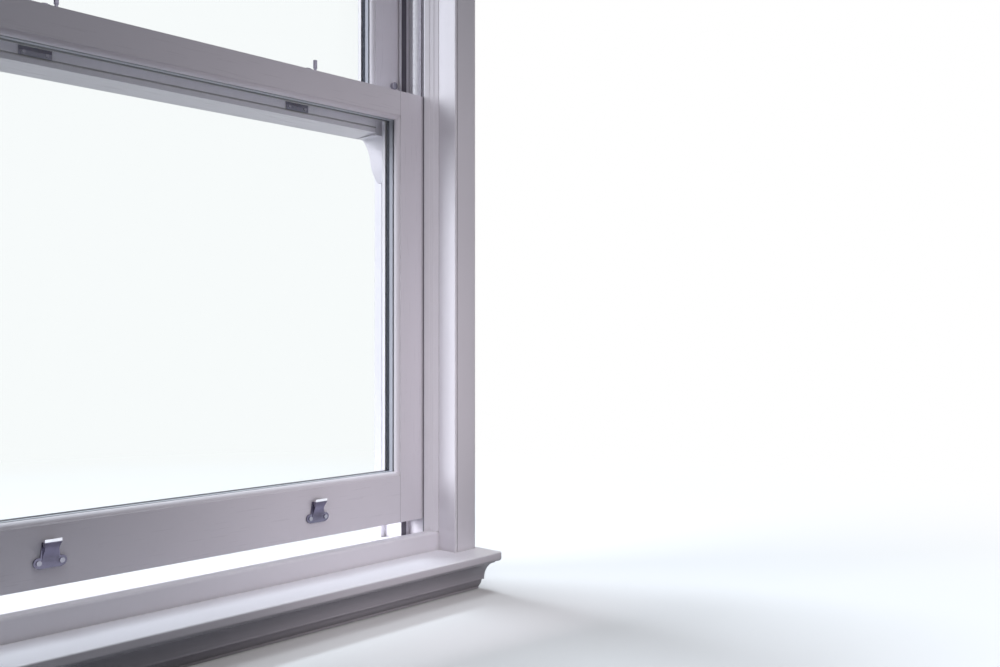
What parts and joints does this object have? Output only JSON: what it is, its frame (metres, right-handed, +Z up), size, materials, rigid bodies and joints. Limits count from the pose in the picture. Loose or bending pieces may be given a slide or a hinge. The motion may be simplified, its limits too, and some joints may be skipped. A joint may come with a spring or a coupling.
{
  "type": "sash window",
  "caption": "White timber window in its frame: two glazed sashes slide up and down on spring balances, with hook lifts, fasteners, window board and architraves.",
  "frame": {"origin": "middle of the sill's underside, under the parting beads", "axes": "+X to the right as seen from the room, +Y outdoors, +Z up"},
  "size_m": [1.08, 0.3415, 1.685],
  "materials": {
    "painted_timber": "white satin paint",
    "glass": "clear float glass",
    "spacer": "dark warm-edge spacer bar",
    "chrome": "polished chrome plate",
    "tube": "white drawn tube",
    "steel": "zinc plated",
    "nylon": "natural nylon",
    "brush_pile": "grey pile"
  },
  "bodies": {
    "frame": {"sill": "painted_timber", "jamb_left": "painted_timber", "jamb_right": "painted_timber", "head": "painted_timber", "outer_lining_left": "painted_timber", "outer_lining_right": "painted_timber", "outer_lining_head": "painted_timber", "reveal_lining_left": "painted_timber", "reveal_lining_right": "painted_timber", "reveal_lining_head": "painted_timber", "architrave_left": "painted_timber", "architrave_right": "painted_timber", "architrave_head": "painted_timber", "staff_bead_left": "painted_timber", "staff_bead_right": "painted_timber", "staff_bead_head": "painted_timber", "parting_bead_left": "painted_timber", "parting_bead_right": "painted_timber", "parting_bead_head": "painted_timber", "bottom_bead": "painted_timber", "window_board": "painted_timber", "bed_mould": "painted_timber", "lower_balance_tube_left": "tube", "lower_balance_tube_right": "tube", "upper_balance_tube_left": "tube", "upper_balance_tube_right": "tube", "balance_bushes": "nylon", "balance_tube_screws": "chrome"},
    "lower_sash": {"lower_stile_left": "painted_timber", "lower_stile_right": "painted_timber", "lower_meeting_rail": "painted_timber", "lower_bottom_rail": "painted_timber", "lower_pane_inner": "glass", "lower_pane_outer": "glass", "lower_spacer": "spacer", "lower_glazing_beads": "painted_timber", "lower_brush_seals": "brush_pile", "hook_lift_left": "chrome", "hook_lift_right": "chrome", "furniture_screws": "chrome", "lower_balance_rods": "steel", "lower_balance_brackets": "steel", "fastener_base_left": "chrome", "fastener_base_right": "chrome"},
    "upper_sash": {"upper_stile_left": "painted_timber", "upper_stile_right": "painted_timber", "upper_top_rail": "painted_timber", "upper_meeting_rail": "painted_timber", "upper_pane_inner": "glass", "upper_pane_outer": "glass", "upper_spacer": "spacer", "upper_glazing_beads": "painted_timber", "fastener_keep_left": "chrome", "fastener_keep_right": "chrome", "keep_screws": "chrome", "stop_studs": "chrome", "upper_balance_rods": "steel", "upper_balance_brackets": "steel"},
    "fastener_left": {"fastener_arm_left": "chrome"},
    "fastener_right": {"fastener_arm_right": "chrome"}
  },
  "joints": [
    {"name": "lower_sash_slide", "type": "slide", "parent": "frame", "child": "lower_sash", "axis": [0, 0, 1], "range_m": [-0.03, 0.6]},
    {"name": "upper_sash_slide", "type": "slide", "parent": "frame", "child": "upper_sash", "axis": [0, 0, -1], "range_m": [0, 0.6]},
    {"name": "fastener_left_turn", "type": "hinge", "parent": "lower_sash", "child": "fastener_left", "pos_m": [-0.222, -0.026, 0.9192], "axis": [0, 0, 1], "range_deg": [-90, 0]},
    {"name": "fastener_right_turn", "type": "hinge", "parent": "lower_sash", "child": "fastener_right", "pos_m": [0.222, -0.026, 0.9192], "axis": [0, 0, 1], "range_deg": [-90, 0]}
  ]
}
